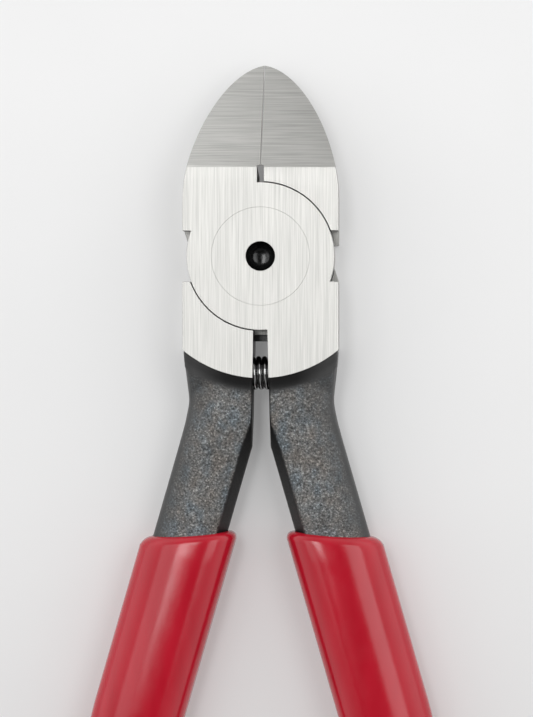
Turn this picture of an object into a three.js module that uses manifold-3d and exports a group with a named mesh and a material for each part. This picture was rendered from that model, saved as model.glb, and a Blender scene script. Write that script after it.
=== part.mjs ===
// Gate cutter: lap-jointed flush nippers that trim moulding gates, with a return spring and dipped grips.
// Millimetres. The tool lies flat and closed. The pivot is the Z axis, the blades point along +Y,
// the flush faces look up (+Z) and the rear faces lie at z = 0.

import * as THREE from 'three';
import { mergeVertices } from 'three/addons/utils/BufferGeometryUtils.js';
import Module from 'manifold-3d';

const wasm = await Module();
wasm.setup();

// Overall
const OVERALL_LENGTH = 150;
const TIP_REACH = 30.1; // pivot to the blade tips

// Head and lap joint
const HEAD_WIDTH = 24.4;
const HEAD_THICKNESS = 10.4;
const HEAD_EDGE_RADIUS = 19.1; // round lower edge of the ground faces, about the pivot
const LAP_INSET = 0.65; // edge of each lap disc, inside the head's flank
const LAP_GAP = 0.15; // round each lap disc
const LAP_FACE_GAP = 0.1; // between the two lapped faces
const SHOULDER_HEIGHT = 4; // flat shoulders beside the discs, above and below the pivot
const OPENING_ANGLE = 18; // degrees between closed and fully open
const STOP_CLEARANCE = 0.5; // degrees left between the stops when fully open
const STOP_SHOULDER_ANGLE = 9; // degrees from the X axis up to the stop on the rear half

// Blades
const BLADE_BASE = 13.9; // pivot to the line where the ground blade faces start
const BLADE_SHOULDER = 9.1; // pivot to the level where the outline starts to narrow
const BLADE_FULLNESS = 8.5; // pull of the outline along the flank
const TIP_FULLNESS = 6.3; // pull of the outline across the tip
const TIP_DROP = 1; // fall of the outline over that pull
const TIP_LEAN = 0.56; // sideways lean of the cutting line at the tip
const FLUSH_ANGLE = 13; // degrees that the flush face falls toward the tip
const TIP_THICKNESS = 2;
const EDGE_GAP = 0.08; // between the closed cutting edges
const EDGE_LAND = 0.25; // thickness left square at each cutting edge
const BEVEL_ANGLE = 32; // degrees between each rear bevel and the cutting plane
const THROAT_REACH = 12.6; // pivot to the end of the bevels at the rear face

// Slots between the halves
const BLADE_SLOT_WIDTH = 1.06;
const BLADE_SLOT_RISE = 0.3; // top of the slot, above the blade base
const HANDLE_GAP = 2.24; // between the handles, where they leave the lap discs
const HANDLE_GAP_SPREAD = 1; // degrees that each wall of that gap opens downward
const STOP_ROOM = 2.3; // from the closing stop in the handle gap to the spring
const STOP_STEP_LENGTH = 1; // thinner end of the closing stop
const STOP_STEP_DEPTH = 1.2;
const STOP_GAP = 0.12; // between the closing stop and the front half

// Neck below the head
const FILLET_RUN = 2.3; // radial width of the hollow fillet below the ground faces
const FILLET_DROP = 1.25; // fall of that fillet
const FILLET_STEEPNESS = 0.3; // radial width over which the fillet falls most
const NECK_RUN = 4.2; // radial width of the slope from the fillet to the handle's edge
const NECK_EDGE = 2; // half thickness of the neck at the foot of that slope
const NECK_TOP = 11; // pivot to the level where the flanks start to draw in
const NECK_REACH = 22.3; // pivot to the narrowest level of the neck
const NECK_DRAW = 0.8; // how far each flank draws in there

// Handles
const HANDLE_OFFSET = -1.34; // where a handle's axis passes the pivot, toward its own side
const HANDLE_SPLAY = 16.1; // degrees between each handle's axis and the tool's axis
const HANDLE_ROOT = 14; // pivot to the start of the handle inside the head
const SHANK_REACH = 29; // pivot to the level where the handle has slimmed to the tang's width
const BEND_REACH = 72; // pivot to the start of the bend that brings the handles parallel
const ROOT_WIDTH = 12.2; // width of the handle down to the neck
const TANG_WIDTH = 11.2;
const TANG_THICKNESS = 8;
const TANG_END_WIDTH = 9.2;
const TANG_END_THICKNESS = 6.8;
const TANG_END_ROUND = 2.4; // rounded corner at the end of the tang
const PARTING_LAND = 1.2; // height of the forging's parting land on the inner side
const DRAFT_STRIP = 1.5; // width of the slanted strip above and below that land
const CROWN_SHIFT = 1; // how far the highest line of the section lies toward the inner side
const NECK_SQUARENESS = 4; // exponent of the section at the root
const TANG_SQUARENESS = 2.4; // exponent of its outer side from the grip on
const INNER_SQUARENESS = 4; // exponent of its inner side

// Pivot rivet
const RIVET_HEAD_RADIUS = 7.66;
const RIVET_HEAD_DEPTH = 3;
const RIVET_SHANK_RADIUS = 5;
const RIVET_TAIL_RADIUS = 6.6;
const RIVET_TAIL_DEPTH = 2.6;
const RIVET_FIT = 0.05; // round the rivet in the front half
const RIVET_RUNNING_GAP = 0.08; // round the rivet in the rear half
const PUNCH_RADIUS = 2.3; // blind hole in the rivet's head
const PUNCH_DEPTH = 4.6;

// Return spring
const SPRING_REACH = 18.3; // pivot to the spring's axis
const SPRING_DIAMETER = 5.4;
const SPRING_WIRE = 0.45;
const SPRING_TURNS = 15;
const SPRING_POCKET_DEPTH = 6;
const SPRING_POCKET_GAP = 0.3; // round the spring in its pockets
const SPRING_SEAT_GAP = 0.3; // between each end of the wire and its pocket's floor

// Grips
const GRIP_REACH = 43.6; // pivot to the grips' upper edge, on the handle's axis
const GRIP_EDGE_TILT = 4; // degrees that this edge rises toward the other grip
const GRIP_WALL = 1.05;
const GRIP_FIT = 0.15; // between tang and grip
const GRIP_LIP = 0.6; // length of the rounded upper edge
const GRIP_END_WALL = 2.5; // from the tang's end to the grip's end
const GRIP_END_ROUND = 5.5; // length of the rounded end

// Finishes
const FRONT_STEEL = { color: 0xc9c8c4, roughness: 0.4, metalness: 0.9 };
const REAR_STEEL = { color: 0xbdbcb8, roughness: 0.4, metalness: 0.9 };
const RIVET_STEEL = { color: 0xcfcecb, roughness: 0.35, metalness: 0.9 };
const SPRING_STEEL = { color: 0x151517, roughness: 0.3, metalness: 0.8 };
const RED_VINYL = { color: 0xb0202f, roughness: 0.35, metalness: 0 };

// Facets
const ROUND_SEGMENTS = 72;
const POCKET_SEGMENTS = 24;
const OUTLINE_SEGMENTS = 20;
const FILLET_SEGMENTS = 6;
const PUNCH_SEGMENTS = 6;
const SECTION_STEPS = 20;
const BEND_STEPS = 7;
const DOME_STEPS = 5;
const CURL_STEPS = 8;
const WIRE_SIDES = 5;

// Places that follow from the sizes
const CUT_MARGIN = 2; // how far a cutting solid reaches past what it cuts
const midHeight = HEAD_THICKNESS / 2;
const halfWidth = HEAD_WIDTH / 2;
const lapRadius = halfWidth - LAP_INSET;
const lapVoidRadius = lapRadius + LAP_GAP;
const frontLapFace = midHeight + LAP_FACE_GAP / 2;
const rearLapFace = midHeight - LAP_FACE_GAP / 2;
const bladeSlotTop = BLADE_BASE + BLADE_SLOT_RISE;
const handleEnd = TIP_REACH - OVERALL_LENGTH;
const tangEnd = handleEnd + GRIP_END_WALL;
const splay = THREE.MathUtils.degToRad(HANDLE_SPLAY);
const bendRadius = (-BEND_REACH - handleEnd) / Math.sin(splay);
const pocketRadius = SPRING_DIAMETER / 2 + SPRING_POCKET_GAP;
const stopReach = SPRING_REACH - SPRING_DIAMETER / 2 - STOP_ROOM;
const pocketFloor = handleGapAt(-SPRING_REACH) + SPRING_POCKET_DEPTH;

function tangent(degrees) {
  return Math.tan(THREE.MathUtils.degToRad(degrees));
}

function sine(degrees) {
  return Math.sin(THREE.MathUtils.degToRad(degrees));
}

// Half of the gap between the handles at height y.
function handleGapAt(y) {
  return HANDLE_GAP / 2 + (-lapRadius - y) * tangent(HANDLE_GAP_SPREAD);
}

// Sideways place of the cutting line at height y.
function cuttingLineAt(y) {
  return (TIP_LEAN * (y - BLADE_BASE)) / (TIP_REACH - BLADE_BASE);
}

// Height of the flush face at y.
function flushFaceAt(y) {
  return HEAD_THICKNESS - (y - BLADE_BASE) * tangent(FLUSH_ANGLE);
}

// Solids and meshes

function solid(geometry) {
  geometry.deleteAttribute('normal');
  geometry.deleteAttribute('uv');
  const welded = mergeVertices(geometry);
  return new wasm.Manifold(
    new wasm.Mesh({
      numProp: 3,
      vertProperties: new Float32Array(welded.attributes.position.array),
      triVerts: new Uint32Array(welded.index.array),
    }),
  );
}

function geometryOf(manifold) {
  const { vertProperties, triVerts } = manifold.getMesh();
  const geometry = new THREE.BufferGeometry();
  geometry.setAttribute('position', new THREE.BufferAttribute(vertProperties, 3));
  geometry.setIndex(new THREE.BufferAttribute(triVerts, 1));
  return geometry;
}

// A prism of a THREE.Shape, or of a list of [x, y] corners, between two heights.
function prism(outline, low, high) {
  const shape = Array.isArray(outline)
    ? new THREE.Shape(outline.map(([x, y]) => new THREE.Vector2(x, y)))
    : outline;
  const geometry = new THREE.ExtrudeGeometry(shape, {
    depth: high - low,
    bevelEnabled: false,
    curveSegments: OUTLINE_SEGMENTS,
  });
  return solid(geometry.translate(0, 0, low));
}

// A prism across the whole head, of a list of [y, z] corners.
function crossPrism(corners) {
  const reach = halfWidth + CUT_MARGIN;
  const shape = new THREE.Shape(corners.map(([y, z]) => new THREE.Vector2(y, z)));
  const geometry = new THREE.ExtrudeGeometry(shape, { depth: 2 * reach, bevelEnabled: false });
  const yzToWorld = new THREE.Matrix4().set(0, 0, 1, -reach, 1, 0, 0, 0, 0, 1, 0, 0, 0, 0, 0, 1);
  return solid(geometry.applyMatrix4(yzToWorld));
}

// A solid of revolution about the pivot, from [radius, z] points that start and end on the axis.
function turned(profile) {
  const points = profile.map(([radius, z]) => new THREE.Vector2(radius, z));
  return new THREE.LatheGeometry(points, ROUND_SEGMENTS).rotateX(Math.PI / 2);
}

function disc(radius, low, high) {
  return solid(
    turned([
      [0, low],
      [radius, low],
      [radius, high],
      [0, high],
    ]),
  );
}

// A closed skin over rings of equal count, each ring running counter-clockwise about the way they advance.
function skin(rings) {
  const count = rings[0].length;
  const last = rings.length - 1;
  const points = rings.flat();
  const middle = (ring) => ring.reduce((sum, p) => sum.add(p), new THREE.Vector3()).divideScalar(count);
  const startCentre = points.push(middle(rings[0])) - 1;
  const endCentre = points.push(middle(rings[last])) - 1;
  const triangles = [];
  for (let j = 0; j < count; j++) {
    const k = (j + 1) % count;
    for (let i = 0; i < last; i++) {
      const here = i * count;
      const next = here + count;
      triangles.push(here + j, here + k, next + j);
      triangles.push(here + k, next + k, next + j);
    }
    triangles.push(startCentre, k, j);
    triangles.push(endCentre, last * count + j, last * count + k);
  }
  const geometry = new THREE.BufferGeometry().setFromPoints(points);
  geometry.setIndex(triangles);
  return geometry;
}

function piece(name, geometry, finish) {
  geometry.computeVertexNormals();
  const mesh = new THREE.Mesh(geometry, new THREE.MeshStandardMaterial(finish));
  mesh.name = name;
  return mesh;
}

// Head: one block for both halves, with the blade faces and the bevels behind them ground on it

function headOutline() {
  const edgeStart = -Math.acos(halfWidth / HEAD_EDGE_RADIUS);
  const fullLevel = BLADE_SHOULDER + BLADE_FULLNESS;
  const tipLevel = TIP_REACH - TIP_DROP;
  const nearTip = cuttingLineAt(tipLevel);
  const nearFlank = cuttingLineAt(fullLevel);
  const shape = new THREE.Shape();
  shape.moveTo(TIP_LEAN, TIP_REACH);
  shape.bezierCurveTo(
    nearTip - TIP_FULLNESS,
    tipLevel,
    nearFlank - halfWidth,
    fullLevel,
    -halfWidth,
    BLADE_SHOULDER,
  );
  shape.absarc(0, 0, HEAD_EDGE_RADIUS, Math.PI - edgeStart, edgeStart + 2 * Math.PI, false);
  shape.lineTo(halfWidth, BLADE_SHOULDER);
  shape.bezierCurveTo(
    nearFlank + halfWidth,
    fullLevel,
    nearTip + TIP_FULLNESS,
    tipLevel,
    TIP_LEAN,
    TIP_REACH,
  );
  return shape;
}

// The V between the rear bevels, from its slanted throat to past the tips.
function bevelCut() {
  const far = TIP_REACH + CUT_MARGIN;
  const apex = (y) => flushFaceAt(y) - EDGE_LAND;
  const foot = (y, side) => {
    const spread = (apex(y) + CUT_MARGIN) * tangent(BEVEL_ANGLE);
    return new THREE.Vector3(cuttingLineAt(y) + side * spread, y, -CUT_MARGIN);
  };
  const top = (y) => new THREE.Vector3(cuttingLineAt(y), y, apex(y));
  const throat = [top(bladeSlotTop), foot(THROAT_REACH, 1), foot(THROAT_REACH, -1)];
  const open = [top(far), foot(far, 1), foot(far, -1)];
  return solid(skin([throat, open]));
}

function makeHead() {
  const far = TIP_REACH + CUT_MARGIN;
  const rearSlope = (flushFaceAt(TIP_REACH) - TIP_THICKNESS) / (TIP_REACH - BLADE_BASE);
  const flushCut = crossPrism([
    [BLADE_BASE, HEAD_THICKNESS],
    [far, flushFaceAt(far)],
    [far, HEAD_THICKNESS + CUT_MARGIN],
    [BLADE_BASE, HEAD_THICKNESS + CUT_MARGIN],
  ]);
  const rearCut = crossPrism([
    [BLADE_BASE, 0],
    [BLADE_BASE, -CUT_MARGIN],
    [far, -CUT_MARGIN],
    [far, (far - BLADE_BASE) * rearSlope],
  ]);
  const block = prism(headOutline(), 0, HEAD_THICKNESS);
  return block.subtract(flushCut).subtract(rearCut).subtract(bevelCut());
}

// Neck: a turned hollow fillet below the ground faces, inside the outline of the drawn-in flanks

function makeNeck() {
  const filletEnd = HEAD_EDGE_RADIUS + FILLET_RUN;
  const foot = filletEnd + NECK_RUN;
  const hollow = new THREE.QuadraticBezierCurve(
    new THREE.Vector2(HEAD_EDGE_RADIUS, midHeight),
    new THREE.Vector2(HEAD_EDGE_RADIUS + FILLET_STEEPNESS, midHeight - FILLET_DROP),
    new THREE.Vector2(filletEnd, midHeight - FILLET_DROP),
  );
  const upper = hollow.getPoints(FILLET_SEGMENTS).map((p) => [p.x, p.y]);
  const profile = [...upper, [foot, NECK_EDGE]];
  const rear = profile.map(([radius, rise]) => [radius, midHeight - rise]);
  const front = profile.map(([radius, rise]) => [radius, midHeight + rise]).reverse();
  const body = solid(turned([[0, 0], ...rear, ...front, [0, HEAD_THICKNESS]]));
  const narrow = halfWidth - NECK_DRAW;
  const bend = -(NECK_TOP + NECK_REACH) / 2;
  const flanks = new THREE.Shape();
  flanks.moveTo(-halfWidth, -SHOULDER_HEIGHT);
  flanks.lineTo(-halfWidth, -NECK_TOP);
  flanks.quadraticCurveTo(-halfWidth, bend, -narrow, -NECK_REACH);
  flanks.lineTo(0, -foot - CUT_MARGIN);
  flanks.lineTo(narrow, -NECK_REACH);
  flanks.quadraticCurveTo(halfWidth, bend, halfWidth, -NECK_TOP);
  flanks.lineTo(halfWidth, -SHOULDER_HEIGHT);
  return body.intersect(prism(flanks, 0, HEAD_THICKNESS));
}

// Handles: sections stand square to an axis that is straight, then bends until it is parallel

function handleAxisAt(y) {
  const straight = Math.max(y, -BEND_REACH);
  const turn = Math.asin(Math.sin(splay) - (straight - y) / bendRadius);
  const x = HANDLE_OFFSET - straight * Math.tan(splay) + bendRadius * (Math.cos(turn) - Math.cos(splay));
  return { x, y, turn };
}

// Half width, half thickness and outer squareness of the handle's steel at height y.
function tangSizeAt(y) {
  const share = (from, to) => THREE.MathUtils.clamp((y - from) / (to - from), 0, 1);
  const slimmed = share(-NECK_REACH, -SHANK_REACH);
  const tapered = share(-BEND_REACH, tangEnd);
  const rounded = share(-HANDLE_ROOT, -GRIP_REACH);
  const straightWidth = THREE.MathUtils.lerp(ROOT_WIDTH, TANG_WIDTH, slimmed);
  return {
    wide: THREE.MathUtils.lerp(straightWidth, TANG_END_WIDTH, tapered) / 2,
    thick: THREE.MathUtils.lerp(TANG_THICKNESS, TANG_END_THICKNESS, tapered) / 2,
    squareness: THREE.MathUtils.lerp(NECK_SQUARENESS, TANG_SQUARENESS, rounded),
  };
}

// Forged section as [across, rise] points: a parting land between two slanted strips on the inner side,
// and from there a rounded outline whose crown lies nearer to the inner side.
function forgedSection({ wide, thick, squareness }) {
  const innerReach = wide - CROWN_SHIFT;
  const outerReach = wide + CROWN_SHIFT;
  const land = PARTING_LAND / 2;
  const start = Math.acos(((innerReach - DRAFT_STRIP) / innerReach) ** (INNER_SQUARENESS / 2));
  const outline = Array.from({ length: SECTION_STEPS + 1 }, (_, i) => {
    const angle = THREE.MathUtils.lerp(start, 2 * Math.PI - start, i / SECTION_STEPS);
    const inner = Math.cos(angle) > 0;
    const shaped = (value) => Math.abs(value) ** (2 / (inner ? INNER_SQUARENESS : squareness));
    const across = shaped(Math.cos(angle)) * (inner ? -innerReach : outerReach);
    return [across - CROWN_SHIFT, -Math.sign(Math.sin(angle)) * thick * shaped(Math.sin(angle))];
  });
  return [[-wide, land], [-wide, -land], ...outline];
}

// The handle's section at y grown by an offset, with its edge drawn in where an end is rounded.
function handleSection(y, offset, drawnIn) {
  const { wide, thick, squareness } = tangSizeAt(y);
  const grown = { wide: wide + offset, thick: thick + offset, squareness };
  return scaled(forgedSection(grown), 1 - drawnIn / grown.wide, 1 - drawnIn / grown.thick);
}

function scaled(section, acrossScale, riseScale) {
  return section.map(([across, rise]) => [across * acrossScale, rise * riseScale]);
}

// A section set square to the handle's axis at y, or in a plane tilted from the level when tilt is given.
function ring(side, y, section, tilt) {
  const axis = handleAxisAt(y);
  const lean = tilt === undefined ? axis.turn : -THREE.MathUtils.degToRad(tilt);
  const stretch = 1 / Math.cos(axis.turn - lean);
  const points = section.map(([across, rise]) => {
    const x = axis.x + across * stretch * Math.cos(lean);
    return new THREE.Vector3(side * x, y + across * stretch * Math.sin(lean), midHeight + rise);
  });
  return side > 0 ? points : points.reverse();
}

// Levels down the gripped part of the handle, from the grip's edge to the end of the tang.
function grippedLevels(end) {
  const straight = [-GRIP_REACH, -(GRIP_REACH + BEND_REACH) / 2];
  const bent = Array.from({ length: BEND_STEPS + 1 }, (_, i) => {
    return THREE.MathUtils.lerp(-BEND_REACH, end, i / BEND_STEPS);
  });
  return [...straight, ...bent];
}

function makeHandle(side) {
  const levels = [-HANDLE_ROOT, -NECK_REACH, -SHANK_REACH, ...grippedLevels(tangEnd + TANG_END_ROUND)];
  const rings = levels.map((y) => ring(side, y, handleSection(y, 0, 0)));
  rings.push(ring(side, tangEnd, handleSection(tangEnd, 0, TANG_END_ROUND)));
  return solid(skin(rings));
}

// Each half owns one lap disc: its blade and its handle stand on opposite sides of the pivot

const lapHeight = (degrees) => lapVoidRadius * sine(degrees);
const flatShoulder = { flank: SHOULDER_HEIGHT, lap: SHOULDER_HEIGHT };
const stopShoulder = {
  flank: halfWidth * tangent(STOP_SHOULDER_ANGLE),
  lap: lapHeight(STOP_SHOULDER_ANGLE),
};
const stopTip = {
  flank: SHOULDER_HEIGHT,
  lap: lapHeight(OPENING_ANGLE + STOP_CLEARANCE - STOP_SHOULDER_ANGLE),
};

// Corners of a shoulder, from outside the flank to beside the pivot, on the blade or the handle side.
function shoulderCorners(side, way, shoulder, inner) {
  const lapEdge = Math.sqrt(lapVoidRadius ** 2 - shoulder.lap ** 2);
  return [
    [side * (halfWidth + CUT_MARGIN), way * shoulder.flank],
    [side * halfWidth, way * shoulder.flank],
    [side * lapEdge, way * shoulder.lap],
    [inner, way * shoulder.lap],
  ];
}

function bladeRegion(side, shoulder) {
  const far = TIP_REACH + CUT_MARGIN;
  const slotWall = (side * BLADE_SLOT_WIDTH) / 2;
  const edge = (side * EDGE_GAP) / 2;
  return [
    ...shoulderCorners(side, 1, shoulder, slotWall),
    [slotWall, bladeSlotTop],
    [cuttingLineAt(bladeSlotTop) + edge, bladeSlotTop],
    [cuttingLineAt(far) + edge, far],
    [side * (halfWidth + CUT_MARGIN), far],
  ];
}

function handleRegion(side, shoulder) {
  const far = handleEnd - CUT_MARGIN;
  const outside = side * OVERALL_LENGTH;
  return [
    [outside, -shoulder.flank],
    ...shoulderCorners(side, -1, shoulder, side * handleGapAt(-shoulder.lap)),
    [side * handleGapAt(far), far],
    [outside, far],
  ];
}

// One half of the tool. bladeSide is -1 for the blade on the left. own and other hold, for the layer
// with this half's disc and for the other layer, the heights and the shoulders of blade and handle.
function makeHalf(bladeSide, own, other) {
  const handleSide = -bladeSide;
  const head = makeHead();
  const lower = head.add(makeNeck()).add(makeHandle(handleSide));
  const layers = [own, other].map(({ low, high, blade, handle }) => {
    const upperPiece = head.intersect(prism(bladeRegion(bladeSide, blade), low, high));
    const lowerPiece = lower.intersect(prism(handleRegion(handleSide, handle), low, high));
    return upperPiece.add(lowerPiece);
  });
  const lapVoid = disc(lapVoidRadius, other.lapLow, other.lapHigh);
  const pocket = solid(
    new THREE.CylinderGeometry(pocketRadius, pocketRadius, pocketFloor, POCKET_SEGMENTS)
      .rotateZ(Math.PI / 2)
      .translate((handleSide * pocketFloor) / 2, -SPRING_REACH, midHeight),
  );
  const body = layers[0].add(layers[1]).subtract(lapVoid).subtract(pocket);
  return body.add(disc(lapRadius, own.lapLow, own.lapHigh));
}

const frontLayer = {
  low: midHeight,
  high: HEAD_THICKNESS + CUT_MARGIN,
};
const rearLayer = {
  low: -CUT_MARGIN,
  high: midHeight,
};

function makeFrontHalf() {
  const own = {
    ...frontLayer,
    blade: flatShoulder,
    handle: flatShoulder,
    lapLow: frontLapFace,
    lapHigh: HEAD_THICKNESS,
  };
  const other = {
    ...rearLayer,
    blade: stopTip,
    handle: stopTip,
    lapLow: -CUT_MARGIN,
    lapHigh: frontLapFace,
  };
  return makeHalf(-1, own, other).subtract(rivetSpace(RIVET_FIT));
}

// The stepped stop that reaches from the rear disc across the gap between the handles.
function closingStop() {
  const wall = -handleGapAt(-stopReach) - STOP_GAP;
  const free = handleGapAt(-lapRadius) - STOP_GAP;
  const corners = (reach) => [
    [wall, -lapRadius + LAP_INSET],
    [free, -lapRadius + LAP_INSET],
    [free, -reach],
    [wall, -reach],
  ];
  const upper = prism(corners(stopReach - STOP_STEP_LENGTH), 0, rearLapFace);
  const lower = prism(corners(stopReach), 0, rearLapFace - STOP_STEP_DEPTH);
  return upper.add(lower);
}

function makeRearHalf() {
  const own = {
    ...rearLayer,
    blade: stopShoulder,
    handle: flatShoulder,
    lapLow: 0,
    lapHigh: rearLapFace,
  };
  const other = {
    ...frontLayer,
    blade: flatShoulder,
    handle: flatShoulder,
    lapLow: rearLapFace,
    lapHigh: HEAD_THICKNESS + CUT_MARGIN,
  };
  return makeHalf(1, own, other).add(closingStop()).subtract(rivetSpace(RIVET_RUNNING_GAP));
}

// Rivet: flush head in the front half, shank, and a flush countersunk tail in the rear half

const rivetHeadSeat = HEAD_THICKNESS - RIVET_HEAD_DEPTH;

// The room for the rivet, wider than it by the given gap.
function rivetSpace(gap) {
  return solid(
    turned([
      [0, -CUT_MARGIN],
      [RIVET_TAIL_RADIUS + gap, -CUT_MARGIN],
      [RIVET_TAIL_RADIUS + gap, 0],
      [RIVET_SHANK_RADIUS + gap, RIVET_TAIL_DEPTH],
      [RIVET_SHANK_RADIUS + gap, rivetHeadSeat - gap],
      [RIVET_HEAD_RADIUS + gap, rivetHeadSeat - gap],
      [RIVET_HEAD_RADIUS + gap, HEAD_THICKNESS + CUT_MARGIN],
      [0, HEAD_THICKNESS + CUT_MARGIN],
    ]),
  );
}

function makeRivet() {
  const bowl = Array.from({ length: PUNCH_SEGMENTS + 1 }, (_, i) => {
    const angle = ((Math.PI / 2) * i) / PUNCH_SEGMENTS;
    const depth = PUNCH_DEPTH - PUNCH_RADIUS + PUNCH_RADIUS * Math.sin(angle);
    return [PUNCH_RADIUS * Math.cos(angle), HEAD_THICKNESS - depth];
  });
  bowl[PUNCH_SEGMENTS][0] = 0;
  return turned([
    [0, 0],
    [RIVET_TAIL_RADIUS, 0],
    [RIVET_SHANK_RADIUS, RIVET_TAIL_DEPTH],
    [RIVET_SHANK_RADIUS, rivetHeadSeat],
    [RIVET_HEAD_RADIUS, rivetHeadSeat],
    [RIVET_HEAD_RADIUS, HEAD_THICKNESS],
    [PUNCH_RADIUS, HEAD_THICKNESS],
    ...bowl,
  ]);
}

// Spring: one wire along X, coiled between the floors of the two pockets

function springPath() {
  const radius = (SPRING_DIAMETER - SPRING_WIRE) / 2;
  const end = pocketFloor - SPRING_SEAT_GAP;
  const coilEnd = end - SPRING_WIRE;
  const steps = SPRING_TURNS * CURL_STEPS;
  const at = (x, angle) => {
    const y = radius * Math.cos(angle) - SPRING_REACH;
    return new THREE.Vector3(x, y, radius * Math.sin(angle) + midHeight);
  };
  const coil = Array.from({ length: steps + 1 }, (_, i) => {
    return at(THREE.MathUtils.lerp(-coilEnd, coilEnd, i / steps), (2 * Math.PI * i) / CURL_STEPS);
  });
  return [at(-end, 0), ...coil, at(end, 0)];
}

// Least clear distance between parts of the wire that are more than half a curl apart.
function leastGap(path) {
  let least = Infinity;
  for (let i = 0; i < path.length; i++) {
    for (let j = i + CURL_STEPS / 2; j < path.length; j++) {
      least = Math.min(least, path[i].distanceTo(path[j]));
    }
  }
  return least - SPRING_WIRE;
}

function makeSpring() {
  const path = springPath();
  console.log(`return_spring: least gap to itself ${leastGap(path).toFixed(3)} mm`);
  const way = (i) => {
    const before = path[Math.max(i - 1, 0)];
    const after = path[Math.min(i + 1, path.length - 1)];
    return after.clone().sub(before).normalize();
  };
  let across = new THREE.Vector3(0, 1, 0);
  const rings = path.map((centre, i) => {
    const along = way(i);
    across = across.addScaledVector(along, -across.dot(along)).normalize();
    const other = along.clone().cross(across);
    return Array.from({ length: WIRE_SIDES }, (_, k) => {
      const angle = (2 * Math.PI * k) / WIRE_SIDES;
      const offset = across.clone().multiplyScalar(Math.cos(angle)).addScaledVector(other, Math.sin(angle));
      return centre.clone().addScaledVector(offset, SPRING_WIRE / 2);
    });
  });
  return skin(rings);
}

// Grips: a dipped sleeve with a rounded upper edge and a domed end

function makeGrip(side) {
  const outer = GRIP_FIT + GRIP_WALL;
  const cavityEnd = tangEnd - GRIP_FIT;
  const domeStart = handleEnd + GRIP_END_ROUND;
  const edge = (y, offset) => ring(side, y, handleSection(y, offset, 0), GRIP_EDGE_TILT);
  const square = (y, offset) => ring(side, y, handleSection(y, offset, 0));
  const cavity = grippedLevels(tangEnd + TANG_END_ROUND)
    .slice(1)
    .map((y) => square(y, GRIP_FIT));
  const floor = ring(side, cavityEnd, handleSection(cavityEnd, GRIP_FIT, TANG_END_ROUND));
  const inside = [...cavity, floor].reverse();
  const lip = [
    edge(-GRIP_REACH, GRIP_FIT),
    edge(-GRIP_REACH, GRIP_FIT + GRIP_WALL / 2),
    edge(-GRIP_REACH - GRIP_LIP, outer),
  ];
  const outside = grippedLevels(domeStart)
    .slice(1)
    .map((y) => square(y, outer));
  const domeAngle = (step) => ((Math.PI / 2) * step) / (DOME_STEPS + 1);
  const domeHeight = GRIP_END_ROUND / Math.sin(domeAngle(DOME_STEPS));
  const dome = Array.from({ length: DOME_STEPS }, (_, i) => {
    const angle = domeAngle(i + 1);
    const y = domeStart - domeHeight * Math.sin(angle);
    return ring(side, y, scaled(handleSection(y, outer, 0), Math.cos(angle), Math.cos(angle)));
  });
  return skin([...inside, ...lip, ...outside, ...dome]);
}

const gateCutter = new THREE.Group();
gateCutter.add(
  piece('front_half', geometryOf(makeFrontHalf()), FRONT_STEEL),
  piece('rear_half', geometryOf(makeRearHalf()), REAR_STEEL),
  piece('pivot_rivet', makeRivet(), RIVET_STEEL),
  piece('return_spring', makeSpring(), SPRING_STEEL),
  piece('right_grip', makeGrip(1), RED_VINYL),
  piece('left_grip', makeGrip(-1), RED_VINYL),
);

export default gateCutter;
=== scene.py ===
import math
import bmesh
import bpy
from mathutils import Matrix, Vector, noise


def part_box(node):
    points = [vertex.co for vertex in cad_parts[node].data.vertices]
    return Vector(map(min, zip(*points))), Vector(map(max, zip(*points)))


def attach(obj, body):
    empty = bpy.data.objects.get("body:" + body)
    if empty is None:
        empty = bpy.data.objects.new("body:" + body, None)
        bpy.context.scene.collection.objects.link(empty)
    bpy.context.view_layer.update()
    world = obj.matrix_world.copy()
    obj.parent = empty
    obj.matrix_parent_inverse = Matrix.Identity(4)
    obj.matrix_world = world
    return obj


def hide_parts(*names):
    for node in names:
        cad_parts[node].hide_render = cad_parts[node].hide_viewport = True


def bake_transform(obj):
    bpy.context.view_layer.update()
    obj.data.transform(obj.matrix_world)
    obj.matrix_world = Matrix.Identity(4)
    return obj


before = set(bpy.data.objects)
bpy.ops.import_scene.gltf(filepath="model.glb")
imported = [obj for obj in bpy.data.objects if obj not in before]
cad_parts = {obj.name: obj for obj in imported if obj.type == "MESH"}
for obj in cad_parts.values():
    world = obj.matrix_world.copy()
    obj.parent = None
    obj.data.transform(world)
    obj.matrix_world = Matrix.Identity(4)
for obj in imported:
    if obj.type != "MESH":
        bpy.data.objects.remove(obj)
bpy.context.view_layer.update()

# Gate cutter: two ground and forged steel halves, a flush rivet, a coil spring and dipped vinyl grips.
# Sizes are in millimetres and become metres when a mesh is made.

MM = 0.001

# Photograph and light
PIXELS_WIDE = 533
PIXELS_HIGH = 717
PIXELS_PER_MM = 6.4  # on the front face
PIVOT_ACROSS = 260.3  # pixels
PIVOT_DOWN = 256  # pixels
CAMERA_DISTANCE = 500
CAMERA_LEAN = math.radians(2.2)  # toward the right handle
FLOOR_GLOW = 0.22  # share of the floor's look that the tool doesn't shade
FLOOR_REACH = 2500
FLOOR_LEVEL = -0.05
FLOOR_SHADE_SPAN = (-90, 30)  # levels between which the floor's painted shade, darker toward the handles, turns paler toward the tips
FLOOR_PAINTED_SHADES = [(0.0, 0.74), (0.45, 0.83), (1.0, 0.89)]
TENT_STRENGTH = 1.45
TENT_BY_HEIGHT = [(0.0, 1.0), (0.4, 1.0), (0.65, 0.7), (0.85, 0.4), (0.96, 0.04)]  # horizon to zenith
TENT_BY_SIDE = [(0.0, 0.45), (0.3, 0.7), (0.6, 1.0)]  # middle plane to the sides
TENT_BY_LENGTH = [(0.15, 0.4), (0.4, 0.8), (0.6, 1.0)]  # handle end to blade end
LAMP_DISTANCE = 1.0  # metres

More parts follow.
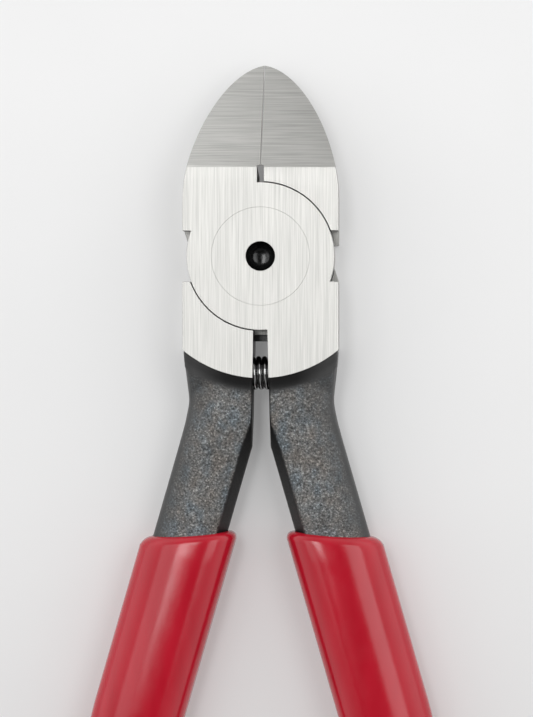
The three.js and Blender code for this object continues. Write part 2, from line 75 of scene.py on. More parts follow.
# Head
HEAD_EDGE_RADIUS = 19.1  # round lower edge of the ground faces
HEAD_CORNER = -14.7  # level where that edge meets the flanks
FILLET_END_RADIUS = 21.4  # foot of the hollow fillet below the ground faces
BLADE_BASE = 13.9  # level above which all upright faces are ground
BEVEL_START = 12.3  # level above which slanted faces belong to the blades
HEAD_INSIDE = 6  # the head's flanks lie further out than this
OILED_LEVEL = -10  # walls below this level are oiled black
LAP_RADIUS = 11.65  # the lap's round walls, which lie inside this, are stained dark
ARC_TOP = 12  # level below the pivot where the cut along the head's edge starts
ARC_STEPS = 120
LEVEL_NORMAL = 0.999  # faces whose normal rises more than this lie level
UPRIGHT_NORMAL = 0.05  # faces whose normal rises less than this stand upright
FACE_TOLERANCE = 0.01
EDGE_TOLERANCE = 0.1

# Handles
OVERALL_LENGTH = 150
TIP_REACH = 30.1
HANDLE_OFFSET = -1.34
HANDLE_SPLAY = math.radians(16.1)
BEND_REACH = 72
TANG_WIDTH = 11.2
TANG_THICKNESS = 8
TANG_END_WIDTH = 9.2
TANG_END_THICKNESS = 6.8
TANG_END_ROUND = 2.4
CROWN_SHIFT = 1  # how far the crown lies toward the other handle
TANG_SQUARENESS = 2.4  # of the outer side
INNER_SQUARENESS = 2.7  # of the side toward the other handle

# Grips
GRIP_REACH = 43.6
GRIP_EDGE_TILT = math.radians(4)
GRIP_EDGE_SAG = 0.3  # how far the upper edge sags between its corners
GRIP_OUTSIDE = 1.2  # from the tang to the grip's outside
GRIP_INSIDE = 0.04  # from the tang to the grip's inside
GRIP_LIP = 1.5  # length of the rounded upper edge
GRIP_END_WALL = 2.5
GRIP_END_ROUND = 5.5
GRIP_SWELL = 0.4  # how much wider than the solid the grip looks in its upper part
GRIP_SWELL_END = -105  # level where that ends
GRIP_SETTLING = 2.2  # length below the lip in which the rings turn square to the handle
LIP_STEPS = 6
DOME_STEPS = 12
FINE_POINTS = 720
GRIP_SECTION_POINTS = 128
GRIP_RING_STEP = 0.8

# Spring and rivet
SPRING_WIRE = 0.88
SPRING_TURNS = 15
SPRING_FLAT_TURNS = 0.6  # the turns that lie flat, both ends together
SPRING_STEPS_PER_TURN = 48
SPRING_WIRE_SIDES = 14
ROUND_CRISP_ANGLE = math.radians(60)
RIVET_SEGMENTS = 144
RIVET_CRISP_ANGLE = math.radians(28)
RIVET_TAIL_RADIUS = 6.6
RIVET_TAIL_TOP = 2.6  # level where the flared tail meets the shank
RIVET_SHANK_RADIUS = 5
RIVET_HEAD_SEAT = 7.4  # level of the shoulder under the head
RIVET_EDGE = 0.018  # chamfer round the rivet's head and tail
RIVET_SWAGE = 0.03  # how far the set rivet swells into the room round its head
PUNCH_RADIUS = 2.3
PUNCH_DEPTH = 4.6
PUNCH_DISH = 6  # radius of its dished floor
PUNCH_CORNER = 1  # height of the rounded corner round that floor
PUNCH_CORNER_POWER = 6  # how sharply that corner turns
PUNCH_STEPS = 16

# Steel surfaces
WELD = 0.002
FLAT_ANGLE = math.radians(0.4)
CRISP_ANGLE = math.radians(35)
EDGE_BREAK = 0.04  # width of the broken edges
SHORTEST_BROKEN_EDGE = 0.3
RIVET_BORE = 8  # edges nearer the pivot than this stay sharp
FORGED_VOXEL = 0.3  # grid that the forged skin is laid on
FORGED_ROUNDING = 3  # passes that round the forged creases
FORGED_END = GRIP_REACH + 3.4  # level down to which the forged skin shows
FORGED_TUCK = 0.5  # how far one shell of a half reaches into the next
FORGED_SINK = 0.12  # how far the tucked part lies below the ground faces
FORGED_SINK_BLEND = 0.3  # distance in which it comes up again
FILLET_BLEND = 0.6  # to either side of the fillet's foot, where the pits start
PIT_AND_SPARKLE_NORMALS = (0.45, 0.9)  # rise of the normal at which the pits and their painted sparkle start and are full, so level crowns are painted lighter
FORGED_SWELL = 0.035  # height of the uneven forged skin
FORGED_SWELL_SIZE = 1.3
OUTER_SHADE_BAND = (0.8, 5.6)  # outside the handle's middle line, where the pitted skin turns smooth and darker: painted shade on the handle's outer half
OUTER_SHADE_SHARE = 0.75  # how much of the pits and their painted sparkle are gone there
NECK_CORNER = (10.9, -22.3)  # hollow corner of the outline
NECK_ROUND = 5  # distance round it that is smoothed
NECK_ROUNDING = 60  # passes
MIDDLE_SHADE_SPAN = 16  # distance from the middle line over which the smooth black, painted near-black as shade between the handles, turns grey
SMOOTH_PAINTED_SHADES = [(0.35, 0.01), (0.65, 0.055)]
SMOOTH_WEAR = [(0.3, 0.8), (0.7, 1.0)]
# dark pits with bright specks: painted sparkle standing in for glints off the scale
PIT_AND_SPARKLE_SHADES = [(0.32, 0.025), (0.45, 0.12), (0.58, 0.2), (0.7, 0.5)]
PIT_TINTS = [(0.32, (0.8, 0.92, 1.0)), (0.5, (0.98, 0.98, 0.96)), (0.68, (1.0, 0.92, 0.84))]
PIT_WEAR = [(0.3, 0.72), (0.7, 1.0)]

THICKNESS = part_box("front_half")[1].z / MM
MID = THICKNESS / 2
handle_end = TIP_REACH - OVERALL_LENGTH
tang_end = handle_end + GRIP_END_WALL
bend_radius = (-BEND_REACH - handle_end) / math.sin(HANDLE_SPLAY)


def lerp(a, b, share):
    return a + (b - a) * share


def clamp(value):
    return min(max(value, 0), 1)


def smooth_share(low, high, value):
    share = clamp((value - low) / (high - low))
    return share * share * (3 - 2 * share)


# Materials


def add_node(tree, kind, settings=None, **attributes):
    """A new shader node with its attributes and its input sockets set."""
    made = tree.nodes.new(kind)
    for name, value in attributes.items():
        setattr(made, name, value)
    for name, value in (settings or {}).items():
        made.inputs[name].default_value = value
    return made


def new_material(name, settings):
    material = bpy.data.materials.new(name)
    material.use_nodes = True
    shader = material.node_tree.nodes["Principled BSDF"]
    for socket, value in settings.items():
        shader.inputs[socket].default_value = value
    return material, material.node_tree, shader


def noise_field(tree, size, detail=2.0, roughness=0.5):
    """Noise whose features have the given sizes along X, Y and Z, in millimetres."""
    place = add_node(tree, "ShaderNodeTexCoord")
    scale = tuple(1 / (length * MM) for length in size)
    mapping = add_node(tree, "ShaderNodeMapping", {"Scale": scale})
    settings = {"Scale": 1.0, "Detail": detail, "Roughness": roughness}
    field = add_node(tree, "ShaderNodeTexNoise", settings)
    tree.links.new(place.outputs["Object"], mapping.inputs["Vector"])
    tree.links.new(mapping.outputs["Vector"], field.inputs["Vector"])
    return field.outputs["Fac"]


def ramp(tree, source, stops):
    """A colour ramp over (place, grey or colour) stops."""
    made = add_node(tree, "ShaderNodeValToRGB")
    elements = made.color_ramp.elements
    while len(elements) < len(stops):
        elements.new(0.5)
    for element, (place, colour) in zip(elements, stops):
        shade = (colour,) * 3 if isinstance(colour, (int, float)) else colour
        element.position = place
        element.color = (*shade, 1)
    tree.links.new(source, made.inputs["Fac"])
    return made.outputs["Color"]


def spread(tree, source, low, high, start=0.25, end=0.75):
    """The source stretched from its usual range to between low and high."""
    limits = {"From Min": start, "From Max": end, "To Min": low, "To Max": high}
    made = add_node(tree, "ShaderNodeMapRange", limits)
    tree.links.new(source, made.inputs["Value"])
    return made.outputs["Result"]


def mix(tree, share, first, second, blend="MIX"):
    """Two colours mixed by a number or by a field."""
    made = add_node(tree, "ShaderNodeMix", data_type="RGBA", blend_type=blend)
    sockets = [s for s in made.inputs if s.enabled]
    for socket, value in zip(sockets, (share, first, second)):
        if isinstance(value, bpy.types.NodeSocket):
            tree.links.new(value, socket)
        else:
            socket.default_value = value
    return next(s for s in made.outputs if s.enabled)


def bump(tree, height, strength, distance):
    """A normal bent by a height field whose full rise is the given distance."""
    made = add_node(tree, "ShaderNodeBump", {"Strength": strength, "Distance": distance * MM})
    tree.links.new(height, made.inputs["Height"])
    return made.outputs["Normal"]


def warm_grey(level):
    return level, level * 0.993, level * 0.955


def multiply(tree, first, second):
    return mix(tree, 1.0, first, second, "MULTIPLY")


def brushed(name, shades, fine, broad, roughness, rotation=0):
    """Ground steel: fine and broad scratches whose sizes run along the grinding."""
    material, tree, shader = new_material(
        name, {"Metallic": 1.0, "Anisotropic": 0.8, "Anisotropic Rotation": rotation}
    )
    fine_field = noise_field(tree, fine, detail=3.0)
    broad_field = noise_field(tree, broad, detail=2.0)
    fine_colour = ramp(tree, fine_field, [(0.3, warm_grey(shades[0])), (0.65, warm_grey(shades[1]))])
    broad_colour = ramp(tree, broad_field, [(0.3, 0.97), (0.65, 1.0)])
    colour = multiply(tree, fine_colour, broad_colour)
    tangent = add_node(tree, "ShaderNodeTangent", direction_type="UV_MAP", uv_map="brushing")
    tree.links.new(colour, shader.inputs["Base Color"])
    tree.links.new(spread(tree, broad_field, *roughness), shader.inputs["Roughness"])
    tree.links.new(bump(tree, fine_field, 0.4, 0.012), shader.inputs["Normal"])
    tree.links.new(tangent.outputs["Tangent"], shader.inputs["Tangent"])
    return material


def across(tree):
    """Distance from the tool's middle line, as a share of MIDDLE_SHADE_SPAN."""
    place = add_node(tree, "ShaderNodeTexCoord")
    axes = add_node(tree, "ShaderNodeSeparateXYZ")
    size = add_node(tree, "ShaderNodeMath", operation="ABSOLUTE")
    tree.links.new(place.outputs["Object"], axes.inputs["Vector"])
    tree.links.new(axes.outputs["X"], size.inputs[0])
    return spread(tree, size.outputs["Value"], 0, 1, 0, MIDDLE_SHADE_SPAN * MM)


def forged_material():
    """Black scaled forging: pitted, with painted sparkle, where the pitting mask is high, and smooth
    black elsewhere, painted darker toward the middle line as shade.
    """
    material, tree, shader = new_material("forged_black", {"Metallic": 0.35})
    pits_and_crown_light = add_node(tree, "ShaderNodeAttribute", attribute_name="pits_and_crown_light").outputs["Fac"]
    pits = noise_field(tree, (0.3, 0.3, 0.3), detail=3.0, roughness=0.6)
    patches = noise_field(tree, (3.5, 5, 3.5), detail=2.0)
    tint = noise_field(tree, (2.2, 3.4, 2.2), detail=2.0)
    # painted shade: smooth black is darkest near the middle line, on the fillet, gap walls and inner
    # strips between the handles
    smooth = multiply(tree, ramp(tree, across(tree), SMOOTH_PAINTED_SHADES), ramp(tree, patches, SMOOTH_WEAR))
    tinted = multiply(tree, ramp(tree, pits, PIT_AND_SPARKLE_SHADES), ramp(tree, tint, PIT_TINTS))
    pitted = multiply(tree, tinted, ramp(tree, patches, PIT_WEAR))
    colour = mix(tree, pits_and_crown_light, smooth, pitted)
    height = add_node(tree, "ShaderNodeMath", operation="MULTIPLY")
    tree.links.new(pits, height.inputs[0])
    tree.links.new(pits_and_crown_light, height.inputs[1])
    tree.links.new(colour, shader.inputs["Base Color"])
    tree.links.new(spread(tree, pits, 0.36, 0.55), shader.inputs["Roughness"])
    tree.links.new(bump(tree, height.outputs["Value"], 0.8, 0.25), shader.inputs["Normal"])
    return material


def oiled_material(name, low, high, roughness, metallic=0.6):
    """Blackened steel with a thin film of oil."""
    material, tree, shader = new_material(name, {"Metallic": metallic})
    field = noise_field(tree, (0.5, 0.5, 0.5), detail=3.0)
    tree.links.new(ramp(tree, field, [(0.3, low), (0.7, high)]), shader.inputs["Base Color"])
    tree.links.new(spread(tree, field, *roughness), shader.inputs["Roughness"])
    tree.links.new(bump(tree, field, 0.1, 0.02), shader.inputs["Normal"])
    return material


def vinyl_material():
    """Glossy dipped vinyl with faint drawn streaks and a slightly uneven skin."""
    material, tree, shader = new_material("red_vinyl", {"Specular IOR Level": 0.5})
    streaks = noise_field(tree, (3, 14, 3), detail=2.0)
    skin = noise_field(tree, (1.6, 2.6, 1.6), detail=2.0)
    deep = (0.4, 0.006, 0.018)
    bright = (0.455, 0.0085, 0.023)
    tree.links.new(ramp(tree, streaks, [(0.3, deep), (0.7, bright)]), shader.inputs["Base Color"])
    tree.links.new(spread(tree, skin, 0.14, 0.19), shader.inputs["Roughness"])
    tree.links.new(bump(tree, skin, 0.08, 0.05), shader.inputs["Normal"])
    return material


def seen_rays(tree):
    """One for the rays that show the floor: camera, glossy and transmission rays."""
    path = add_node(tree, "ShaderNodeLightPath")
    total = path.outputs["Is Camera Ray"]
    for kind in ("Is Glossy Ray", "Is Transmission Ray"):
        either = add_node(tree, "ShaderNodeMath", operation="MAXIMUM")
        tree.links.new(total, either.inputs[0])
        tree.links.new(path.outputs[kind], either.inputs[1])
        total = either.outputs["Value"]
    return total


def floor_material():
    """A pale board that keeps the tool's shadow, glows a little wherever it is seen, and has painted
    shade that darkens it toward the handles.
    """
    material, tree, shader = new_material("pale_board", {"Roughness": 0.9, "Specular IOR Level": 0.1})
    field = noise_field(tree, (30, 30, 30), detail=3.0)
    place = add_node(tree, "ShaderNodeTexCoord")
    axes = add_node(tree, "ShaderNodeSeparateXYZ")
    tree.links.new(place.outputs["Object"], axes.inputs["Vector"])
    start, end = (level * MM for level in FLOOR_SHADE_SPAN)
    # painted shade: the floor's colour darkens from the tips toward the handles, as falling-off light
    # would
    shade = ramp(tree, spread(tree, axes.outputs["Y"], 0, 1, start, end), FLOOR_PAINTED_SHADES)
    colour = multiply(tree, shade, ramp(tree, field, [(0.3, 0.985), (0.7, 1.0)]))
    glow = add_node(tree, "ShaderNodeEmission")
    both = add_node(tree, "ShaderNodeMixShader")
    share = add_node(tree, "ShaderNodeMath", operation="MULTIPLY")
    share.inputs[1].default_value = FLOOR_GLOW
    tree.links.new(seen_rays(tree), share.inputs[0])
    tree.links.new(colour, shader.inputs["Base Color"])
    tree.links.new(colour, glow.inputs["Color"])
    tree.links.new(share.outputs["Value"], both.inputs["Fac"])
    tree.links.new(shader.outputs["BSDF"], both.inputs[1])
    tree.links.new(glow.outputs["Emission"], both.inputs[2])
    tree.links.new(both.outputs["Shader"], tree.nodes["Material Output"].inputs["Surface"])
    return material


HEAD_STEEL, BLADE_STEEL, WALL_STEEL, OILED_STEEL, FORGED = range(5)

head_steel = brushed("head_steel", (0.39, 0.54), (0.09, 9, 0.09), (0.4, 20, 0.4), (0.39, 0.42))
blade_steel = brushed("blade_steel", (0.37, 0.51), (9, 0.14, 0.14), (20, 0.4, 0.4), (0.36, 0.44), 0.25)
wall_steel = brushed("wall_steel", (0.3, 0.42), (0.2, 3, 0.2), (0.8, 5, 0.8), (0.35, 0.5))
oiled_steel = oiled_material("oiled_steel", 0.03, 0.07, (0.25, 0.4))
spring_black = oiled_material("spring_black", 0.42, 0.5, (0.1, 0.15), metallic=1.0)
punched_black = oiled_material("punched_black", 0.02, 0.04, (0.12, 0.2))
forged_black = forged_material()
red_vinyl = vinyl_material()
steel_materials = [head_steel, blade_steel, wall_steel, oiled_steel, forged_black]


# Pieces


def finish_piece(name, bm, materials, crisp_angle):
    """Turns a bmesh in millimetres into an object, smooth but for its crisp edges."""
    bmesh.ops.recalc_face_normals(bm, faces=bm.faces)
    for edge in bm.edges:
        edge.smooth = edge.calc_face_angle(math.pi) < crisp_angle
    for face in bm.faces:
        face.smooth = True
    bm.transform(Matrix.Scale(MM, 4))
    mesh = bpy.data.meshes.new(name)
    bm.to_mesh(mesh)
    bm.free()
    for material in materials:
        mesh.materials.append(material)
    made = bpy.data.objects.new(name, mesh)
    bpy.context.scene.collection.objects.link(made)
    return made


def stand_for(piece, node, body):
    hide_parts(node)
    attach(piece, body)


def loft(bm, rings):
    """Quads between rings of equal count, with both end rings capped."""
    rows = [[bm.verts.new(point) for point in ring] for ring in rings]
    count = len(rows[0])
    for lower, upper in zip(rows, rows[1:]):
        for i in range(count):
            k = (i + 1) % count
            bm.faces.new((lower[i], lower[k], upper[k], upper[i]))
    for row in (rows[0], rows[-1]):
        middle = bm.verts.new(sum((v.co for v in row), Vector()) / count)
        for i in range(count):
            bm.faces.new((row[i], row[(i + 1) % count], middle))


# Steel halves: a ground head, a forged skin over the neck and shank, and a plain tang under the grip


def finish_of(face):
    """Which of the steel finishes a face of a head has."""
    centre = face.calc_center_median()
    normal = face.normal
    radius = math.hypot(centre.x, centre.y)
    outward = normal.x * centre.x + normal.y * centre.y > 0
    level = abs(normal.z) > LEVEL_NORMAL
    upright = abs(normal.z) < UPRIGHT_NORMAL
    if level and min(abs(centre.z), abs(centre.z - THICKNESS)) < FACE_TOLERANCE:
        return HEAD_STEEL
    if centre.y > BEVEL_START and not upright:
        return BLADE_STEEL
    if radius > HEAD_EDGE_RADIUS - EDGE_TOLERANCE and centre.y < HEAD_CORNER:
        return FORGED
    if upright and outward and abs(centre.x) > HEAD_INSIDE or centre.y > BLADE_BASE:
        return HEAD_STEEL
    stained = upright and radius < LAP_RADIUS or centre.y < OILED_LEVEL
    return OILED_STEEL if stained else WALL_STEEL


def solid_of(node):
    """A copy of a node's solid as a bmesh in millimetres."""
    bm = bmesh.new()
    bm.from_mesh(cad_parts[node].data)
    bm.transform(Matrix.Scale(1 / MM, 4))
    bmesh.ops.remove_doubles(bm, verts=bm.verts, dist=WELD)
    return bm


def upright_prism(outline):
    """A prism of [x, y] corners that reaches past both faces of the tool."""
    bm = bmesh.new()
    base = bm.faces.new([bm.verts.new((x, y, -THICKNESS)) for x, y in outline])
    raised = bmesh.ops.extrude_face_region(bm, geom=[base])["geom"]
    top = [item for item in raised if isinstance(item, bmesh.types.BMVert)]
    bmesh.ops.translate(bm, verts=top, vec=(0, 0, 3 * THICKNESS))
    bmesh.ops.recalc_face_normals(bm, faces=bm.faces)
    return bm


def below_head(radius, end):
    """Outline of all that lies below an arc about the pivot, down to a level."""
    span = math.acos(ARC_TOP / radius)
    arc = []
    for i in range(ARC_STEPS + 1):
        angle = lerp(-span, span, i / ARC_STEPS)
        arc.append((radius * math.sin(angle), -radius * math.cos(angle)))
    wide = OVERALL_LENGTH
    return [*arc, (wide, -ARC_TOP), (wide, end), (-wide, end), (-wide, -ARC_TOP)]


def scratch_object(name, bm):
    mesh = bpy.data.meshes.new(name)
    bm.transform(Matrix.Scale(MM, 4))
    bm.to_mesh(mesh)
    bm.free()
    made = bpy.data.objects.new(name, mesh)
    bpy.context.scene.collection.objects.link(made)
    return made


def modified(made):
    """The bmesh, in millimetres, of an object with its modifiers, which is then removed."""
    graph = bpy.context.evaluated_depsgraph_get()
    mesh = bpy.data.meshes.new_from_object(made.evaluated_get(graph))
    bm = bmesh.new()
    bm.from_mesh(mesh)
    bm.transform(Matrix.Scale(1 / MM, 4))
    bpy.data.meshes.remove(mesh)
    bpy.data.objects.remove(made)
    return bm


def part_of(node, outline, operation, voxel=None):
    """What a prism takes from a node's solid or leaves of it, on a fine grid where voxel is given."""
    whole = scratch_object("whole", solid_of(node))
    tool = scratch_object("tool", upright_prism(outline))
    cut = whole.modifiers.new("cut", "BOOLEAN")
    cut.operation = operation
    cut.object = tool
    cut.solver = "EXACT"
    if voxel is not None:
        grid = whole.modifiers.new("grid", "REMESH")
        grid.mode = "VOXEL"
        grid.voxel_size = voxel * MM
    bm = modified(whole)
    bpy.data.objects.remove(tool)
    return bm


def break_edges(bm):
    """A small chamfer along the crisp edges of the ground and machined faces."""
    edges = [
        edge
        for edge in bm.edges
        if edge.calc_face_angle(0) > CRISP_ANGLE
        and edge.calc_length() > SHORTEST_BROKEN_EDGE
        and edge.verts[0].co.xy.length > RIVET_BORE
        and not any(face.material_index == FORGED for face in edge.link_faces)
    ]
    shape = {"offset": EDGE_BREAK, "segments": 1, "profile": 0.5}
    bmesh.ops.bevel(bm, geom=edges, affect="EDGES", material=-1, **shape)


def map_grain(bm):
    """A flat map of each face, across and along the tool, for the direction of the grinding."""
    layer = bm.loops.layers.uv.new("brushing")
    for face in bm.faces:
        flat = abs(face.normal.z) > 0.3
        for corner in face.loops:
            point = corner.vert.co
            corner[layer].uv = (point.x if flat else point.z, point.y)


def make_head(node):
    """The ground head with its lap disc and blade, cut off along its round lower edge."""
    outline = below_head(HEAD_EDGE_RADIUS - EDGE_BREAK, handle_end - THICKNESS)
    bm = part_of(node, outline, "DIFFERENCE")
    bmesh.ops.remove_doubles(bm, verts=bm.verts, dist=WELD)
    bmesh.ops.dissolve_limit(bm, angle_limit=FLAT_ANGLE, verts=bm.verts, edges=bm.edges)
    bm.normal_update()
    for face in bm.faces:
        face.material_index = finish_of(face)
    break_edges(bm)
    bm.normal_update()
    return bm


def soften(bm, verts, passes, upright):
    """Smooths vertices across and along the tool, and in its thickness where upright is true."""
    axes = {"use_axis_x": True, "use_axis_y": True, "use_axis_z": upright}
    for _ in range(passes):
        bmesh.ops.smooth_vert(bm, verts=verts, factor=0.5, **axes)


def make_forged_skin(node):
    """The neck and shank with rounded creases and an uneven skin, pitted where the crown is level; the
    same mask paints sparkle there, so up-facing crowns read lighter as painted light.
    """
    outline = below_head(HEAD_EDGE_RADIUS - FORGED_TUCK, -FORGED_END)
    bm = part_of(node, outline, "INTERSECT", FORGED_VOXEL)
    soften(bm, bm.verts, FORGED_ROUNDING, upright=True)
    hollow = [v for v in bm.verts if math.dist((abs(v.co.x), v.co.y), NECK_CORNER) < NECK_ROUND]
    soften(bm, hollow, NECK_ROUNDING, upright=False)
    bm.normal_update()
    pits_and_crown_light = bm.verts.layers.float.new("pits_and_crown_light")
    moves = []
    for vert in bm.verts:
        radius = math.hypot(vert.co.x, vert.co.y)
        # painted light: the mask rises with the normal, so level crowns get bright painted sparkle and
        # slopes stay dark
        crown = smooth_share(*PIT_AND_SPARKLE_NORMALS, abs(vert.normal.z))
        middle, lean = handle_axis(vert.co.y)
        outward = (abs(vert.co.x) - middle) * math.cos(lean)
        # painted shade: the handle's outer half loses its pitted, brighter colour and turns smooth dark
        # black
        outer_shade = smooth_share(*OUTER_SHADE_BAND, outward)
        below_fillet = smooth_share(-FILLET_BLEND, FILLET_BLEND, radius - FILLET_END_RADIUS)
        vert[pits_and_crown_light] = below_fillet * crown * (1 - OUTER_SHADE_SHARE * outer_shade)
        swell = noise.fractal(vert.co / FORGED_SWELL_SIZE, 1.0, 2.0, 2) * FORGED_SWELL * vert[pits_and_crown_light]
        risen = smooth_share(HEAD_EDGE_RADIUS, HEAD_EDGE_RADIUS + FORGED_SINK_BLEND, radius)
        sink = FORGED_SINK * (1 - risen)
        moves.append(vert.normal * (swell - sink))
    for vert, move in zip(bm.verts, moves):
        vert.co += move
    for face in bm.faces:
        face.material_index = FORGED
    return bm


def make_tang(node):
    """The plain rest of the handle, which the grip covers."""
    end = FORGED_TUCK - FORGED_END
    far = handle_end - THICKNESS
    wide = OVERALL_LENGTH
    bm = part_of(node, [(-wide, end), (-wide, far), (wide, far), (wide, end)], "INTERSECT")
    for face in bm.faces:
        face.material_index = FORGED
    return bm


def join(*shells):
    """Several bmeshes as one."""
    joined = bmesh.new()
    for shell in shells:
        mesh = bpy.data.meshes.new("shell")
        shell.to_mesh(mesh)
        shell.free()
        joined.from_mesh(mesh)
        bpy.data.meshes.remove(mesh)
    return joined


def steel_half(name, node, body):
    bm = join(make_head(node), make_forged_skin(node), make_tang(node))
    map_grain(bm)
    piece = finish_piece(name, bm, steel_materials, CRISP_ANGLE)
    weighted = piece.modifiers.new("flat_faces", "WEIGHTED_NORMAL")
    weighted.keep_sharp = True
    stand_for(piece, node, body)


# Rivet: flush head and tail, black punched centre


def rivet_profile():
    """The rivet's outside and its punched hole, each as (radius, level) points."""
    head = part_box("pivot_rivet")[1].x / MM + RIVET_SWAGE
    bowl = []
    for i in range(PUNCH_STEPS + 1):
        angle = math.pi / 2 * i / PUNCH_STEPS
        r = PUNCH_RADIUS * math.cos(angle)
        rise = r * r / (2 * PUNCH_DISH) + PUNCH_CORNER * (r / PUNCH_RADIUS) ** PUNCH_CORNER_POWER
        bowl.append((r, THICKNESS - PUNCH_DEPTH + rise))
    outside = [
        (RIVET_TAIL_RADIUS - RIVET_EDGE, 0),
        (RIVET_TAIL_RADIUS, RIVET_EDGE),
        (RIVET_SHANK_RADIUS, RIVET_TAIL_TOP),
        (RIVET_SHANK_RADIUS, RIVET_HEAD_SEAT),
        (head, RIVET_HEAD_SEAT),
        (head, THICKNESS - RIVET_EDGE),
        (head - RIVET_EDGE, THICKNESS),
        (PUNCH_RADIUS + 2 * RIVET_EDGE, THICKNESS),
    ]
    return outside, [(PUNCH_RADIUS, THICKNESS - 2 * RIVET_EDGE), *bowl[:-1]]


def turn(bm, profile, material):
    """Quads of a profile turned about the pivot."""
    rows = []
    for i in range(RIVET_SEGMENTS):
        angle = 2 * math.pi * i / RIVET_SEGMENTS
        rows.append([bm.verts.new((r * math.cos(angle), r * math.sin(angle), z)) for r, z in profile])
    for i in range(RIVET_SEGMENTS):
        here, after = rows[i], rows[(i + 1) % RIVET_SEGMENTS]
        for k in range(len(profile) - 1):
            face = bm.faces.new((here[k], after[k], after[k + 1], here[k + 1]))
            face.material_index = material
    return rows


def make_rivet():
    outside, hole = rivet_profile()
    bm = bmesh.new()
    outer_rows = turn(bm, [*outside, hole[0]], 0)
    bm.faces.new([row[0] for row in outer_rows])
    hole_rows = turn(bm, hole, 1)
    floor = bm.verts.new((0, 0, THICKNESS - PUNCH_DEPTH))
    for i in range(RIVET_SEGMENTS):
        face = bm.faces.new((hole_rows[i][-1], hole_rows[(i + 1) % RIVET_SEGMENTS][-1], floor))
        face.material_index = 1
    bmesh.ops.remove_doubles(bm, verts=bm.verts, dist=WELD)
    map_grain(bm)
    piece = finish_piece("rivet", bm, [head_steel, punched_black], RIVET_CRISP_ANGLE)
    stand_for(piece, "pivot_rivet", "front_lever")


# Spring: one wire wound along X, with its last turn lying flat at each end


def make_spring():
    low, high = (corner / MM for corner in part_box("return_spring"))
    centre = (low + high) / 2
    radius = (high.z - low.z) / 2 - SPRING_WIRE / 2
    reach = high.x - SPRING_WIRE / 2
    steps = SPRING_TURNS * SPRING_STEPS_PER_TURN
    pitch = 2 * reach / (SPRING_TURNS - SPRING_FLAT_TURNS)
    rings = []
    for i in range(steps + 1):
        turns = SPRING_TURNS * i / steps
        angle = 2 * math.pi * turns
        x = min(max(pitch * (turns - SPRING_TURNS / 2), -reach), reach)
        out = Vector((0, math.cos(angle), math.sin(angle)))
        middle = Vector((x, centre.y, centre.z)) + out * radius
        ring = []
        for k in range(SPRING_WIRE_SIDES):
            side = 2 * math.pi * k / SPRING_WIRE_SIDES
            around = out * math.cos(side) + Vector((math.sin(side), 0, 0))
            ring.append(middle + around * SPRING_WIRE / 2)
        rings.append(ring)
    bm = bmesh.new()
    loft(bm, rings)
    piece = finish_piece("spring_coil", bm, [spring_black], ROUND_CRISP_ANGLE)
    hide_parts("return_spring")
    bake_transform(piece)


# Grips: dipped sleeves that follow the forged tang, with a rounded lip and a domed end


def handle_axis(y):
    """Distance of the handle's middle line from the tool's, and its lean, at height y."""
    straight = max(y, -BEND_REACH)
    turn_angle = math.asin(math.sin(HANDLE_SPLAY) - (straight - y) / bend_radius)
    bend = bend_radius * (math.cos(turn_angle) - math.cos(HANDLE_SPLAY))
    return HANDLE_OFFSET - straight * math.tan(HANDLE_SPLAY) + bend, turn_angle


def tang_size(y):
    """Half width and half thickness of the tang at height y."""
    tapered = clamp((y + BEND_REACH) / (tang_end + BEND_REACH))
    wide = lerp(TANG_WIDTH, TANG_END_WIDTH, tapered) / 2
    thick = lerp(TANG_THICKNESS, TANG_END_THICKNESS, tapered) / 2
    return wide, thick


def grip_outline(wide, thick):
    """A closed line of (across, rise) points, squarer toward the other handle."""
    inner = wide - CROWN_SHIFT
    outer = wide + CROWN_SHIFT
    points = []
    for i in range(FINE_POINTS + 1):
        angle = 2 * math.pi * i / FINE_POINTS
        toward, rise = math.cos(angle), math.sin(angle)
        power = 2 / (INNER_SQUARENESS if toward > 0 else TANG_SQUARENESS)
        across = abs(toward) ** power * (-inner if toward > 0 else outer)
        points.append((across - CROWN_SHIFT, -math.copysign(thick * abs(rise) ** power, rise)))
    return points


def even_points(points, count):
    """Points at even distances along a closed line."""
    lengths = [0]
    for a, b in zip(points, points[1:]):
        lengths.append(lengths[-1] + math.dist(a, b))
    made = []
    k = 0
    for i in range(count):
        wanted = lengths[-1] * i / count
        while lengths[k + 1] < wanted:
            k += 1
        share = (wanted - lengths[k]) / (lengths[k + 1] - lengths[k])
        made.append(tuple(lerp(a, b, share) for a, b in zip(points[k], points[k + 1])))
    return made


def grip_section(y, offset):
    """The grip's outline at height y, the given distance outside the tang."""
    wide, thick = tang_size(y)
    swelling = GRIP_SWELL * smooth_share(GRIP_SWELL_END, -BEND_REACH, y) * clamp(offset / GRIP_OUTSIDE)
    outline = grip_outline(wide + offset + swelling, thick + offset)
    return even_points(outline, GRIP_SECTION_POINTS)


def grip_ring(side, y, section, scale=1):
    """A section set square to the handle's axis at y."""
    x, lean = handle_axis(y)
    ring = []
    for across, rise in section:
        shift = across * scale
        level = y + shift * math.sin(lean)
        ring.append(Vector((side * (x + shift * math.cos(lean)), level, MID + rise * scale)))
    return ring


def edge_ring(side, y, section):
    """A section in the sagging, slightly tilted plane of the grip's upper edge."""
    x, turn_angle = handle_axis(y)
    stretch = 1 / math.cos(turn_angle + GRIP_EDGE_TILT)
    half = max(across for across, _ in section)
    ring = []
    for across, rise in section:
        shift = across * stretch
        sag = GRIP_EDGE_SAG * (1 - (across / half) ** 2)
        level = y - shift * math.sin(GRIP_EDGE_TILT) - sag
        ring.append(Vector((side * (x + shift * math.cos(GRIP_EDGE_TILT)), level, MID + rise)))
    return ring


def levels(start, end):
    """Even levels, about GRIP_RING_STEP apart."""
    count = math.ceil((start - end) / GRIP_RING_STEP)
    return [lerp(start, end, i / count) for i in range(count + 1)]


